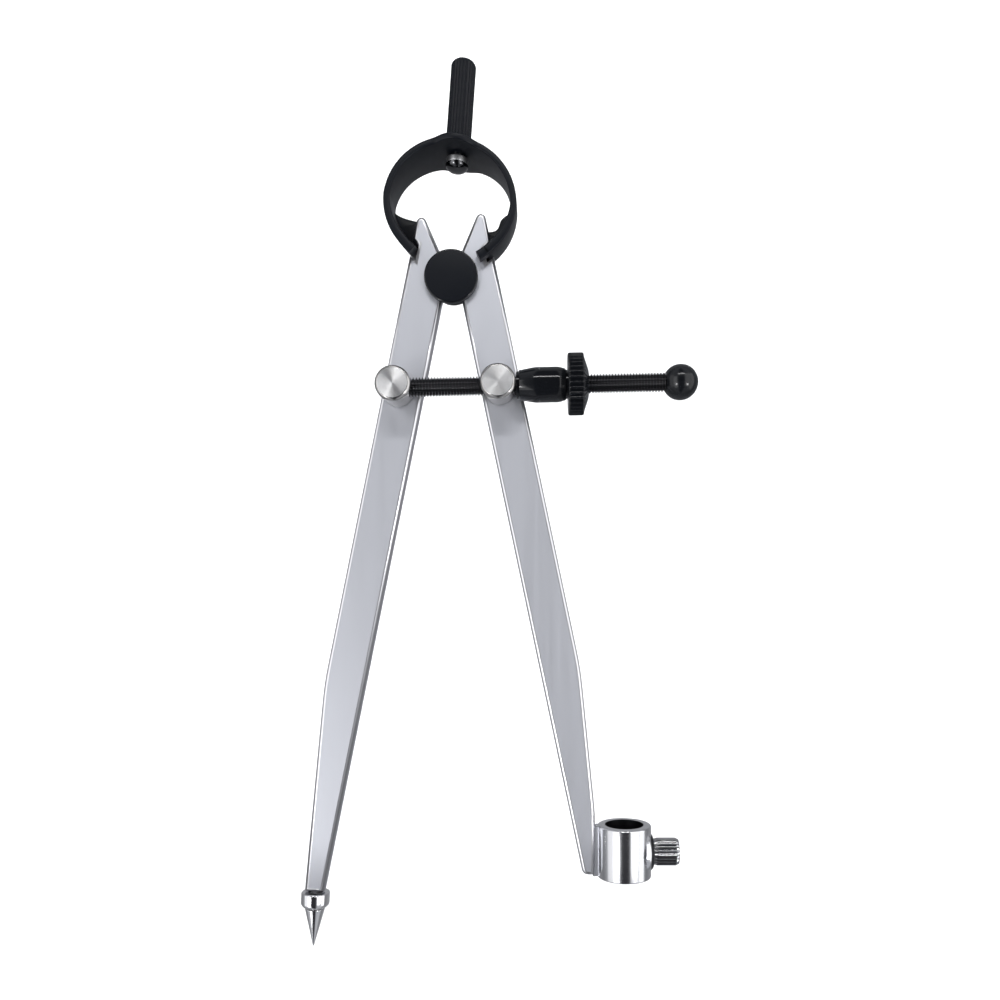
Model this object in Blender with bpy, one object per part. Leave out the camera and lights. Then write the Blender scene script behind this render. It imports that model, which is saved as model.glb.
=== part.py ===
"""Spring divider with flat legs, a bow spring, an adjusting nut and a pencil holder.

Metres, +Z up along the tool, +X to its right, -Y towards the viewer. The
origin is the centre of the fulcrum's front face, on the pivot axis. The legs
are stored open at the angle of the photograph.
"""

from math import asin, cos, pi, radians, sin, sqrt, tan

import bmesh
import bpy
from mathutils import Matrix, Vector

# Clearances and counts that every piece shares.
SEAT_GAP = 0.0003
OVERRUN = 0.001
WELD_DISTANCE = 0.000001
SMOOTH_ANGLE = radians(35)
ROUND_STEPS = 40
FINE_STEPS = 56

# Fulcrum: a flanged spool between the legs.
FLANGE_RADIUS = 0.0059
FLANGE_THICKNESS = 0.0012
FLANGE_CHAMFER = 0.00035
NECK_RADIUS = 0.0036
BACK_FLANGE_RADIUS = 0.00455
BACK_FLANGE_THICKNESS = 0.0011
SPOOL_TAIL_RADIUS = 0.002
SPOOL_TAIL_PROUD = 0.0003

# Legs, measured across from the pivot line (outwards) and down from the pivot.
LEG_THICKNESS = 0.0032
LEG_EDGE_ROUND = 0.0006
LEG_EDGE_SEGMENTS = 3
LEG_INNER_EDGE = 0.0012
LEG_OUTER_EDGE = 0.0101
LEFT_KINK_DOWN = 0.093
RIGHT_KINK_DOWN = 0.0899
LEG_TIP_RADIUS = 0.0011
LEFT_TIP_RISE = 0.0109
RIGHT_TIP_RISE = 0.01165
LEG_TIP_SLOPE = radians(35)
LEG_TIP_STEPS = 6
LEFT_LEG_ANGLE = radians(11.3)
RIGHT_LEG_ANGLE = radians(11.9)
LEFT_END_DOWN = 0.1385
LEFT_END_OUTER = 0.0054
RIGHT_END_DOWN = 0.1349
RIGHT_END_OUTER = 0.00377
RIGHT_END_UPRIGHT = 0.014

# Notch in each leg's outer edge, where the bow's fork bears.
NOTCH_DEPTH = 0.0017

# Bow spring: a bent strip round its own centre, leaning with the handle.
BOW_ACROSS = -0.0002
BOW_HEIGHT = 0.0155
BOW_RADIUS = 0.0146
BOW_THICKNESS = 0.0014
BOW_END_THICKNESS = 0.002
BOW_END_DROP = 0.00065
BOW_FRONT = 0.004
BOW_BACK = 0.00305
BOW_LEFT_SPREAD = 0.0057
BOW_LEFT_SPREAD_START = radians(70)
BOW_RIGHT_SPREAD = 0.0062
BOW_RIGHT_SPREAD_START = radians(110)
BOW_LEAN = radians(4)
BOW_LEFT_END = radians(35)
BOW_RIGHT_END = radians(32.5)
BOW_END_START = radians(95)
BOW_END_FULL = radians(50)
BOW_STEP = radians(4)
FORK_SLOT_WIDTH = LEG_THICKNESS + 2 * SEAT_GAP
EAR_THICKNESS = 0.001
EAR_BOTTOM = radians(38)
EAR_STEP = radians(5)
LEFT_EAR_INNER_RADIUS = 0.0081
LEFT_EAR_TOP = radians(88.5)
LEFT_EAR_CORNER = radians(15.5)
LEFT_EAR_LOBE_SHARE = 0
RIGHT_EAR_INNER_RADIUS = 0.0086
RIGHT_EAR_TOP = radians(96)
RIGHT_EAR_CORNER = radians(28)
RIGHT_EAR_LOBE_SHARE = 1
PAD_RADIUS = 0.0074
PAD_SETBACK = 0.0019

# Handle and the screw that holds it to the bow.
HANDLE_RADIUS = 0.0028
HANDLE_LENGTH = 0.0199
HANDLE_ACROSS = 0.00025
HANDLE_DOME = 0.0016
HANDLE_DOME_STEPS = 4
HANDLE_RIB_COUNT = 24
HANDLE_RIB_DEPTH = 0.00016
SCREW_SHANK_RADIUS = 0.0015
SCREW_SHANK_REACH = 0.006
COLLAR_RADIUS = 0.00242
COLLAR_LENGTH = 0.0021
COLLAR_CHAMFER = 0.0004
BUTTON_RADIUS = 0.0022
BUTTON_RIM = 0.00015
BUTTON_DOME = 0.00075
BUTTON_STEPS = 4

# Studs that carry the adjusting rod, placed across and down from the pivot line.
LEFT_STUD_ACROSS = 0.00655
LEFT_STUD_DOWN = 0.0268
RIGHT_STUD_ACROSS = 0.0053
RIGHT_STUD_DOWN = 0.02622
STUD_HEAD_RADIUS = 0.0038
STUD_HEAD_THICKNESS = 0.0018
STUD_HEAD_CHAMFER = 0.0003
STUD_GROOVE_RADIUS = 0.0032
STUD_GROOVE_WIDTH = 0.0004
STUD_BODY_RADIUS = 0.0035
STUD_HEIGHT = 0.008
STUD_PIN_RADIUS = 0.002
STUD_PIN_PROUD = 0.0003
STUD_RING_RADIUS = 0.0031
STUD_RING_THICKNESS = 0.0009

# Adjusting rod, ball and nut. Stations run along the rod from the right stud's axis.
ROD_RADIUS = 0.00205
ROD_STANDOFF = 0.0034
ROD_RUNNING_GAP = 0.00045
ROD_END_CHAMFER = 0.0003
ROD_SOCKET_DEPTH = 0.0026
BALL_RADIUS = 0.00385
BALL_DISTANCE = 0.0392
BALL_SOCKET_DEPTH = 0.0022
NUT_BORE_RADIUS = ROD_RADIUS + ROD_RUNNING_GAP
NOSE_SPIGOT_RADIUS = 0.0029
NOSE_START = 0.0044
NOSE_RADIUS = 0.00315
NOSE_WIDE_START = 0.0079
NOSE_END = 0.0085
BARREL_START = 0.009
BARREL_RADIUS = 0.00376
BARREL_TAPER_START = 0.0131
BARREL_END = 0.0145
BARREL_END_RADIUS = 0.0033
BARREL_LIP = 0.0002
WHEEL_START = 0.0149
WHEEL_END = 0.0183
WHEEL_RADIUS = 0.00668
WHEEL_CHAMFER = 0.0003
WHEEL_RIB_COUNT = 36
WHEEL_RIB_DEPTH = 0.00028
WHEEL_CONE_LENGTH = 0.0011
WHEEL_CONE_RADIUS = 0.0029

# Needle point and its ferrule, on the left leg.
POINT_ACROSS = 0.0032
POINT_LEAN = radians(8.8)
TANG_RADIUS = 0.0013
TANG_LENGTH = 0.0013
FERRULE_RADIUS = 0.0031
FERRULE_LENGTH = 0.0033
FERRULE_CHAMFER = 0.0005
POINT_RADIUS = 0.0022
POINT_LENGTH = 0.0084
POINT_TIP_RADIUS = 0.0001
POINT_SHANK_LENGTH = 0.0014

# Pencil holder on the right leg, placed up and out from the outer corner of the leg's end.
HOLDER_RISE = 0.00516
HOLDER_STANDOFF = 0.00063
HOLDER_RADIUS = 0.00595
HOLDER_BORE_RADIUS = 0.00427
HOLDER_HEIGHT = 0.01145
HOLDER_EDGE_ROUND = 0.0003
WEB_HEIGHT = 0.0112
BOSS_RADIUS = 0.0046
BOSS_PROUD = 0.0004
CLAMP_DROP = 0.0003
CLAMP_SHANK_RADIUS = 0.0015
CLAMP_TIP_INTO_BORE = 0.0004
CLAMP_HEAD_RADIUS = 0.003
CLAMP_HEAD_LENGTH = 0.0053
CLAMP_HEAD_CHAMFER = 0.0004

# Planes that the pieces share, measured back from the fulcrum's front face.
LEG_FRONT = FLANGE_THICKNESS + SEAT_GAP
LEG_MIDDLE = LEG_FRONT + LEG_THICKNESS / 2
LEG_BACK = LEG_FRONT + LEG_THICKNESS
ROD_PLANE = LEG_FRONT - ROD_STANDOFF

LEFT = -1
RIGHT = 1


def clear_scene():
    """Remove every object that the start-up file holds."""
    for obj in list(bpy.data.objects):
        bpy.data.objects.remove(obj)


def material(name, colour, roughness, metallic):
    """A Principled material of one colour."""
    made = bpy.data.materials.new(name)
    made.use_nodes = True
    shader = made.node_tree.nodes["Principled BSDF"]
    shader.inputs["Base Color"].default_value = (*colour, 1)
    shader.inputs["Roughness"].default_value = roughness
    shader.inputs["Metallic"].default_value = metallic
    return made


def satin_steel():
    return material("satin_steel", (0.62, 0.63, 0.67), 0.38, 1)


def bright_steel():
    return material("bright_steel", (0.72, 0.72, 0.73), 0.16, 1)


def turned_steel():
    return material("turned_steel", (0.7, 0.7, 0.71), 0.28, 1)


def black_finish():
    return material("black_finish", (0.014, 0.015, 0.018), 0.35, 0)


def glossy_black():
    return material("glossy_black", (0.008, 0.008, 0.009), 0.12, 0)


def finish(name, shape, paint, parent=None):
    """Make an object of a bmesh, give it its material and shade its round faces smooth."""
    bmesh.ops.remove_doubles(shape, verts=shape.verts, dist=WELD_DISTANCE)
    bmesh.ops.recalc_face_normals(shape, faces=shape.faces)
    mesh = bpy.data.meshes.new(name)
    shape.to_mesh(mesh)
    shape.free()
    mesh.shade_smooth()
    mesh.set_sharp_from_angle(angle=SMOOTH_ANGLE)
    obj = bpy.data.objects.new(name, mesh)
    bpy.context.scene.collection.objects.link(obj)
    if paint:
        mesh.materials.append(paint)
    obj.parent = parent
    return obj


def empty(name, location, parent=None):
    """An empty on a joint's axis, which carries the pieces that move with it."""
    obj = bpy.data.objects.new(name, None)
    bpy.context.scene.collection.objects.link(obj)
    obj.location = location
    obj.parent = parent
    return obj


def helper(obj):
    """Turn an object into a cutter that is neither rendered nor built."""
    obj.hide_render = True
    obj.display_type = "WIRE"
    return obj


def combine(obj, other, operation):
    """Add an exact Boolean with a helper object."""
    step = obj.modifiers.new(other.name, "BOOLEAN")
    step.operation = operation
    step.object = helper(other)
    step.solver = "EXACT"


def turned(name, profile, paint, parent=None, steps=ROUND_STEPS):
    """Turn an outline of (radius, height) points about +Z into one closed solid."""
    shape = bmesh.new()
    verts = [shape.verts.new((radius, 0, height)) for radius, height in profile]
    edges = [shape.edges.new(pair) for pair in zip(verts, verts[1:])]
    if profile[0][0] > 0:
        edges.append(shape.edges.new((verts[-1], verts[0])))
    bmesh.ops.spin(
        shape,
        geom=verts + edges,
        cent=(0, 0, 0),
        axis=(0, 0, 1),
        angle=2 * pi,
        steps=steps,
        use_merge=True,
    )
    return finish(name, shape, paint, parent)


def tube_profile(inner, outer, low, high):
    return [(inner, low), (outer, low), (outer, high), (inner, high)]


def rod_profile(radius, low, high):
    return [(0, low), (radius, low), (radius, high), (0, high)]


def bore(name, radius, low, high, parent):
    """A round cutter along its parent's +Z."""
    return turned(name, rod_profile(radius, low, high), None, parent)


def aim(obj, direction):
    """Turn an object's +Z to a direction."""
    obj.rotation_mode = "QUATERNION"
    obj.rotation_quaternion = Vector((0, 0, 1)).rotation_difference(Vector(direction))
    return obj


def plate(name, outline, front, back, paint, parent=None):
    """Extrude an outline of (x, z) points from one y to another."""
    shape = bmesh.new()
    face = shape.faces.new([shape.verts.new((x, front, z)) for x, z in outline])
    sides = bmesh.ops.extrude_face_region(shape, geom=[face])
    moved = [item for item in sides["geom"] if isinstance(item, bmesh.types.BMVert)]
    bmesh.ops.translate(shape, verts=moved, vec=(0, back - front, 0))
    return finish(name, shape, paint, parent)


def ribbed_prism(name, radius, rib_depth, rib_count, stations, paint, parent):
    """A prism about +Z with lengthwise ribs, its rings at (share of radius, height) stations."""
    shape = bmesh.new()
    rings = []
    for share, height in stations:
        ring = []
        for index in range(2 * rib_count):
            angle = pi * index / rib_count
            reach = share * (radius - rib_depth * (index % 2))
            ring.append(shape.verts.new((reach * cos(angle), reach * sin(angle), height)))
        rings.append(ring)
    for low, high in zip(rings, rings[1:]):
        for index, vert in enumerate(low):
            shape.faces.new((low[index - 1], vert, high[index], high[index - 1]))
    shape.faces.new(rings[0])
    shape.faces.new(rings[-1])
    return finish(name, shape, paint, parent)


def arc_bar(name, start, end, step, section, paint, parent=None):
    """Sweep a four-cornered section about the bow's centre.

    Angles run from straight down, positive to the right. The section function
    gives (inner radius, outer radius, front y, back y) at an angle.
    """
    count = max(2, round(abs(end - start) / step))
    shape = bmesh.new()
    rings = []
    for index in range(count + 1):
        angle = start + (end - start) * index / count
        inner, outer, front, back = section(angle)
        corners = ((inner, front), (outer, front), (outer, back), (inner, back))
        rings.append(
            [shape.verts.new((r * sin(angle), y, -r * cos(angle))) for r, y in corners]
        )
    for low, high in zip(rings, rings[1:]):
        for index in range(4):
            shape.faces.new((low[index - 1], low[index], high[index], high[index - 1]))
    shape.faces.new(rings[0])
    shape.faces.new(rings[-1])
    return finish(name, shape, paint, parent)


def arc_points(centre, radius, start, end, steps):
    """Points on an arc in the (across, down) plane."""
    return [
        (
            centre[0] + radius * cos(start + (end - start) * index / steps),
            centre[1] + radius * sin(start + (end - start) * index / steps),
        )
        for index in range(steps + 1)
    ]


def end_corners(end_down, end_outer, end_lean):
    """Inner and outer corner of a leg's end, cut square to what leans in by end_lean."""
    drop = (end_outer - LEG_INNER_EDGE) / 2 * tan(end_lean)
    return (LEG_INNER_EDGE, end_down - drop), (end_outer, end_down + drop)


def leg_outline(end, end_lean, upright, kink_down, tip_rise, side):
    """Outline of a leg in its own frame, before the seat and the notch are cut.

    The outer edge is straight down to the kink and then runs in to the end.
    Above the pivot the inner edge slopes out to the rounded tip. Over the
    upright height, the outer edge above the end is square to the end's cut.
    """
    slope_across = -cos(LEG_TIP_SLOPE)
    slope_down = -sin(LEG_TIP_SLOPE)
    tip = (LEG_OUTER_EDGE - LEG_TIP_RADIUS, -tip_rise)
    tip_arc = arc_points(
        tip, LEG_TIP_RADIUS, 0, -pi + LEG_TIP_SLOPE, LEG_TIP_STEPS
    )
    leave = (tip[0] + LEG_TIP_RADIUS * slope_across, tip[1] + LEG_TIP_RADIUS * slope_down)
    fall = (leave[0] - LEG_INNER_EDGE) * cos(LEG_TIP_SLOPE) / sin(LEG_TIP_SLOPE)
    outline = [*end_corners(*end, end_lean)]
    if upright:
        across, down = outline[-1]
        outline.append((across + upright * sin(end_lean), down - upright * cos(end_lean)))
    outline += [
        (LEG_OUTER_EDGE, kink_down),
        *tip_arc,
        (LEG_INNER_EDGE, leave[1] + fall),
    ]
    return [(side * across, -down) for across, down in outline]


def leg_point(side, angle, across, down):
    """World place of a point of a leg, given across and down from the pivot line."""
    x = side * (across * cos(angle) + down * sin(angle))
    return Vector((x, 0, across * sin(angle) - down * cos(angle)))


def notch_angle(side, leg_angle, radius):
    """Angle from straight down at which an arc about the bow's centre meets the leg's outer edge."""
    centre_across = side * BOW_ACROSS * cos(leg_angle) + BOW_HEIGHT * sin(leg_angle)
    return leg_angle + asin((LEG_OUTER_EDGE - centre_across) / radius)


def notch_cutter(name, side, leg_angle, leg):
    """A slanted box in the bow's path, as deep in the leg's outer edge as the notch."""
    radius_out = BOW_RADIUS - BOW_END_DROP + SEAT_GAP
    radius_in = BOW_RADIUS - BOW_END_DROP - BOW_END_THICKNESS - SEAT_GAP
    middle = (radius_in + radius_out) / 2
    edge_angle = notch_angle(side, leg_angle, middle)
    depth_angle = NOTCH_DEPTH / cos(edge_angle - leg_angle) / middle
    start = side * (edge_angle - depth_angle)
    end = side * (edge_angle + 2 * depth_angle)
    front = -LEG_THICKNESS / 2 - OVERRUN
    cutter = arc_bar(
        name, start, end, BOW_STEP, lambda angle: (radius_in, radius_out, front, -front), None, leg
    )
    bow_centre = Vector((BOW_ACROSS, 0, BOW_HEIGHT))
    cutter.location = Matrix.Rotation(side * leg_angle, 3, "Y") @ bow_centre
    cutter.rotation_euler.y = side * leg_angle
    return cutter


def web_end_angle(side, leg_angle):
    """Angle from straight down at which the bow's web stops, just clear of the notch's floor."""
    middle = BOW_RADIUS - BOW_END_DROP - BOW_END_THICKNESS / 2
    edge_angle = notch_angle(side, leg_angle, middle)
    reach = NOTCH_DEPTH / cos(edge_angle - leg_angle) - SEAT_GAP
    return edge_angle - reach / middle


def make_leg(name, side, angle, end, end_lean, upright, kink_down, tip_rise, stud):
    """One leg: a bevelled flat bar with its fulcrum seat, notch and stud hole cut.

    The end is its (down, outer edge), and the stud is placed (across, down).
    """
    pivot = empty(name + "_pivot", (0, LEG_MIDDLE, 0))
    outline = leg_outline(end, end_lean, upright, kink_down, tip_rise, side)
    half = LEG_THICKNESS / 2
    leg = plate(name, outline, -half, half, satin_steel(), pivot)
    leg.rotation_euler.y = -side * angle
    edges = leg.modifiers.new("rounded_edges", "BEVEL")
    edges.width = LEG_EDGE_ROUND
    edges.segments = LEG_EDGE_SEGMENTS
    edges.limit_method = "ANGLE"
    edges.angle_limit = radians(50)
    reach = half + OVERRUN
    seat = bore(name + "_seat", NECK_RADIUS + SEAT_GAP, -reach, reach, leg)
    aim(seat, (0, 1, 0))
    combine(leg, seat, "DIFFERENCE")
    combine(leg, notch_cutter(name + "_notch", side, angle, leg), "DIFFERENCE")
    hole = bore(name + "_hole", STUD_PIN_RADIUS + SEAT_GAP, -reach, reach, leg)
    aim(hole, (0, 1, 0)).location = (side * stud[0], 0, -stud[1])
    combine(leg, hole, "DIFFERENCE")
    return leg


def make_fulcrum():
    """The spool with its front flange and neck, and the back flange held on its tail."""
    neck_end = LEG_BACK
    flange_back = LEG_BACK + SEAT_GAP + BACK_FLANGE_THICKNESS
    rim = FLANGE_RADIUS - FLANGE_CHAMFER
    profile = [
        (0, 0),
        (rim, 0),
        (FLANGE_RADIUS, FLANGE_CHAMFER),
        (FLANGE_RADIUS, FLANGE_THICKNESS),
        (NECK_RADIUS, FLANGE_THICKNESS),
        (NECK_RADIUS, neck_end),
        (SPOOL_TAIL_RADIUS, neck_end),
        (SPOOL_TAIL_RADIUS, flange_back + SPOOL_TAIL_PROUD),
        (0, flange_back + SPOOL_TAIL_PROUD),
    ]
    aim(turned("fulcrum_spool", profile, black_finish(), steps=FINE_STEPS), (0, 1, 0))
    ring = tube_profile(
        SPOOL_TAIL_RADIUS + SEAT_GAP, BACK_FLANGE_RADIUS, LEG_BACK + SEAT_GAP, flange_back
    )
    aim(turned("fulcrum_back_flange", ring, black_finish()), (0, 1, 0))


def bow_radii(away):
    """Inner and outer radius of the strip, which draws in and thickens towards its ends."""
    blend = min(1, max(0, (BOW_END_START - away) / (BOW_END_START - BOW_END_FULL)))
    outer = BOW_RADIUS - BOW_END_DROP * blend
    return outer - BOW_THICKNESS - (BOW_END_THICKNESS - BOW_THICKNESS) * blend, outer


def back_spread(angle):
    """How far the strip's back edge has moved back at an angle, growing evenly to the top."""
    if angle > pi:
        start, spread = BOW_LEFT_SPREAD_START, BOW_LEFT_SPREAD
    else:
        start, spread = BOW_RIGHT_SPREAD_START, BOW_RIGHT_SPREAD
    away = pi - abs(pi - angle)
    return spread * max(0, away - start) / (pi - start)


def bow_section(angle):
    """Section of the bow's strip, in its own leaning frame, at an angle from straight down.

    The angle runs to the right and over the top. The strip's back edge moves
    away towards the top, where it spreads into a round pad under the handle.
    """
    inner, outer = bow_radii(pi - abs(pi - angle))
    front, back = -BOW_FRONT, BOW_BACK + back_spread(angle)
    along = abs(BOW_RADIUS * (pi - angle) - HANDLE_ACROSS)
    if along < PAD_RADIUS:
        spread = sqrt(PAD_RADIUS**2 - along**2)
        front = min(front, PAD_SETBACK - spread)
        back = max(back, PAD_SETBACK + spread)
    return inner, outer, front, back


def ear_section(angle, ear_inner, top, corner, lobe_share):
    """Section of an ear behind a leg, whose upper inner corner is cut away in a curve.

    Over the corner the inner edge goes out to the strip, in one sweep or, as
    the lobe share nears 1, in two steps with a lobe between them.
    """
    rise = max(0, (abs(angle) - top + corner) / corner)
    sweep = (rise + 3 * rise**2 - 2 * rise**3) / 2
    steps = (1 + (2 * rise - 1) ** 3) / 2
    inner, outer = bow_radii(abs(angle))
    reach = ear_inner + (inner - ear_inner) * (sweep + (steps - sweep) * lobe_share)
    front = LEG_THICKNESS / 2 + SEAT_GAP
    return reach, (inner + outer) / 2, front, front + EAR_THICKNESS


def make_bow(frame):
    """The bow: one strip with a forked end and an ear at each side, and the screw's hole."""
    end = 2 * pi - BOW_LEFT_END
    strip = arc_bar(
        "bow_spring", BOW_RIGHT_END, end, BOW_STEP, bow_section, black_finish(), frame
    )
    left_ear = (LEFT_EAR_INNER_RADIUS, LEFT_EAR_TOP, LEFT_EAR_CORNER, LEFT_EAR_LOBE_SHARE)
    right_ear = (RIGHT_EAR_INNER_RADIUS, RIGHT_EAR_TOP, RIGHT_EAR_CORNER, RIGHT_EAR_LOBE_SHARE)
    for side, leg_angle, shape in (
        (LEFT, LEFT_LEG_ANGLE, left_ear), (RIGHT, RIGHT_LEG_ANGLE, right_ear),
    ):
        ear = arc_bar(
            f"bow_ear_{side}",
            side * EAR_BOTTOM,
            side * shape[1],
            EAR_STEP,
            lambda angle: ear_section(angle, *shape),
            None,
            frame,
        )
        combine(strip, ear, "UNION")
        web_end = web_end_angle(side, leg_angle) + side * BOW_LEAN
        half_slot = FORK_SLOT_WIDTH / 2
        slot = arc_bar(
            f"bow_slot_{side}",
            0,
            side * web_end,
            BOW_STEP,
            lambda angle: (shape[0], BOW_RADIUS + OVERRUN, -half_slot, half_slot),
            None,
            frame,
        )
        combine(strip, slot, "DIFFERENCE")
    hole = bore(
        "bow_hole",
        SCREW_SHANK_RADIUS + SEAT_GAP,
        BOW_RADIUS - BOW_THICKNESS - OVERRUN,
        BOW_RADIUS + OVERRUN,
        frame,
    )
    hole.location = (HANDLE_ACROSS, PAD_SETBACK, 0)
    combine(strip, hole, "DIFFERENCE")


def make_handle(frame):
    """The ribbed handle on top of the bow, with a blind hole for its screw."""
    base = BOW_RADIUS + SEAT_GAP
    top = base + HANDLE_LENGTH
    stations = [(1, base), (1, top - HANDLE_DOME)]
    for index in range(1, HANDLE_DOME_STEPS):
        turn = pi / 2 * index / HANDLE_DOME_STEPS
        stations.append((cos(turn), top - HANDLE_DOME + HANDLE_DOME * sin(turn)))
    stations[-1] = (stations[-1][0], top)
    handle = ribbed_prism(
        "handle", HANDLE_RADIUS, HANDLE_RIB_DEPTH, HANDLE_RIB_COUNT, stations, black_finish(), frame
    )
    handle.location = (HANDLE_ACROSS, PAD_SETBACK, 0)
    shank_top = base + SCREW_SHANK_REACH
    hole = bore(
        "handle_hole", SCREW_SHANK_RADIUS + SEAT_GAP, base - OVERRUN, shank_top + SEAT_GAP, handle
    )
    combine(handle, hole, "DIFFERENCE")
    make_handle_screw(frame, shank_top)


def make_handle_screw(frame, shank_top):
    """The collar against the inside of the bow and the domed screw through it."""
    collar_top = BOW_RADIUS - BOW_THICKNESS - SEAT_GAP
    collar_low = collar_top - COLLAR_LENGTH
    hole = SCREW_SHANK_RADIUS + SEAT_GAP
    ring = [
        (hole, collar_low),
        (COLLAR_RADIUS, collar_low),
        (COLLAR_RADIUS, collar_top - COLLAR_CHAMFER),
        (COLLAR_RADIUS - COLLAR_CHAMFER, collar_top),
        (hole, collar_top),
    ]
    collar = turned("handle_collar", ring, bright_steel(), frame)
    collar.location = (HANDLE_ACROSS, PAD_SETBACK, 0)
    head_top = collar_low - SEAT_GAP
    rim_low = head_top - BUTTON_RIM
    dome = [
        (
            BUTTON_RADIUS * cos(pi / 2 * index / BUTTON_STEPS),
            rim_low - BUTTON_DOME * sin(pi / 2 * index / BUTTON_STEPS),
        )
        for index in range(BUTTON_STEPS)
    ]
    profile = [
        (0, shank_top),
        (SCREW_SHANK_RADIUS, shank_top),
        (SCREW_SHANK_RADIUS, head_top),
        (BUTTON_RADIUS, head_top),
        *dome,
        (0, rim_low - BUTTON_DOME),
    ]
    screw = turned("handle_screw", profile, bright_steel(), frame)
    screw.location = (HANDLE_ACROSS, PAD_SETBACK, 0)


def make_stud(name, place, rod_direction, socket):
    """A stud on a leg: pin, body with its cross hole, groove and head, and the ring behind.

    The stud turns on the leg about Y. Its height runs towards the viewer, so
    it is built about +Z and aimed at -Y from the leg's front face.
    """
    axis = empty(name + "_axis", (place.x, LEG_FRONT, place.z))
    groove_top = STUD_HEIGHT - STUD_HEAD_THICKNESS
    groove_low = groove_top - STUD_GROOVE_WIDTH
    tail = -LEG_THICKNESS - SEAT_GAP - STUD_RING_THICKNESS - STUD_PIN_PROUD
    profile = [
        (0, tail),
        (STUD_PIN_RADIUS, tail),
        (STUD_PIN_RADIUS, SEAT_GAP),
        (STUD_BODY_RADIUS, SEAT_GAP),
        (STUD_BODY_RADIUS, groove_low),
        (STUD_GROOVE_RADIUS, groove_low),
        (STUD_GROOVE_RADIUS, groove_top),
        (STUD_HEAD_RADIUS, groove_top),
        (STUD_HEAD_RADIUS, STUD_HEIGHT - STUD_HEAD_CHAMFER),
        (STUD_HEAD_RADIUS - STUD_HEAD_CHAMFER, STUD_HEIGHT),
        (0, STUD_HEIGHT),
    ]
    stud = aim(turned(name, profile, turned_steel(), axis), (0, -1, 0))
    if socket:
        radius, low = ROD_RADIUS + SEAT_GAP, -ROD_SOCKET_DEPTH - SEAT_GAP
    else:
        radius, low = NUT_BORE_RADIUS, -STUD_HEAD_RADIUS - OVERRUN
    hole = bore(name + "_cross_hole", radius, low, STUD_HEAD_RADIUS + OVERRUN, axis)
    aim(hole, rod_direction).location.y = -ROD_STANDOFF
    combine(stud, hole, "DIFFERENCE")
    ring_front = -LEG_THICKNESS - SEAT_GAP
    ring = tube_profile(
        STUD_PIN_RADIUS + SEAT_GAP, STUD_RING_RADIUS, ring_front - STUD_RING_THICKNESS, ring_front
    )
    aim(turned(name + "_ring", ring, turned_steel(), axis), (0, -1, 0))


def make_rod(left_place, right_place, direction):
    """The adjusting rod from the left stud to the ball, and the ball on its end."""
    axis = aim(empty("rod_axis", (left_place.x, ROD_PLANE, left_place.z)), direction)
    spacing = (right_place - left_place).length
    ball_centre = spacing + BALL_DISTANCE
    socket_floor = ball_centre - BALL_RADIUS + BALL_SOCKET_DEPTH
    rod_end = socket_floor - SEAT_GAP
    profile = [
        (0, -ROD_SOCKET_DEPTH),
        (ROD_RADIUS, -ROD_SOCKET_DEPTH),
        (ROD_RADIUS, rod_end - ROD_END_CHAMFER),
        (ROD_RADIUS - ROD_END_CHAMFER, rod_end),
        (0, rod_end),
    ]
    turned("adjusting_rod", profile, black_finish(), axis)
    hole = ROD_RADIUS + SEAT_GAP
    start = asin(hole / BALL_RADIUS)
    count = FINE_STEPS // 4
    ball = [(0, socket_floor), (hole, socket_floor)]
    for index in range(count + 1):
        angle = start + (pi - start) * index / count
        ball.append((BALL_RADIUS * sin(angle), ball_centre - BALL_RADIUS * cos(angle)))
    ball[-1] = (0, ball_centre + BALL_RADIUS)
    turned("ball_end", ball, glossy_black(), axis)


def make_nut(place, direction):
    """The adjusting nut: a nose that bears on the right stud, a barrel and a ribbed wheel."""
    axis = aim(empty("nut_axis", (place.x, ROD_PLANE, place.z)), direction)
    nose = [
        (NUT_BORE_RADIUS, STUD_BODY_RADIUS + SEAT_GAP),
        (NOSE_SPIGOT_RADIUS, STUD_BODY_RADIUS + SEAT_GAP),
        (NOSE_SPIGOT_RADIUS, NOSE_START),
        (NOSE_RADIUS, NOSE_START),
        (BARREL_RADIUS, NOSE_WIDE_START),
        (BARREL_RADIUS, NOSE_END),
        (NUT_BORE_RADIUS, NOSE_END),
    ]
    turned("nut_nose", nose, glossy_black(), axis)
    barrel = [
        (NUT_BORE_RADIUS, NOSE_END + SEAT_GAP),
        (BARREL_RADIUS - BARREL_LIP, NOSE_END + SEAT_GAP),
        (BARREL_RADIUS - BARREL_LIP, BARREL_START),
        (BARREL_RADIUS, BARREL_START + BARREL_LIP),
        (BARREL_RADIUS, BARREL_TAPER_START),
        (BARREL_END_RADIUS, BARREL_END),
        (NUT_BORE_RADIUS, BARREL_END),
    ]
    turned("nut_barrel", barrel, glossy_black(), axis)
    rim_share = 1 - WHEEL_CHAMFER / WHEEL_RADIUS
    cone_share = WHEEL_CONE_RADIUS / WHEEL_RADIUS
    stations = [
        (rim_share, WHEEL_START),
        (1, WHEEL_START + WHEEL_CHAMFER),
        (1, WHEEL_END - WHEEL_CHAMFER),
        (rim_share, WHEEL_END),
        (cone_share, WHEEL_END + WHEEL_CONE_LENGTH),
    ]
    wheel = ribbed_prism(
        "nut_wheel", WHEEL_RADIUS, WHEEL_RIB_DEPTH, WHEEL_RIB_COUNT, stations, glossy_black(), axis
    )
    reach = WHEEL_END + WHEEL_CONE_LENGTH + OVERRUN
    hole = bore("wheel_bore", NUT_BORE_RADIUS, WHEEL_START - OVERRUN, reach, axis)
    combine(wheel, hole, "DIFFERENCE")


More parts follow.
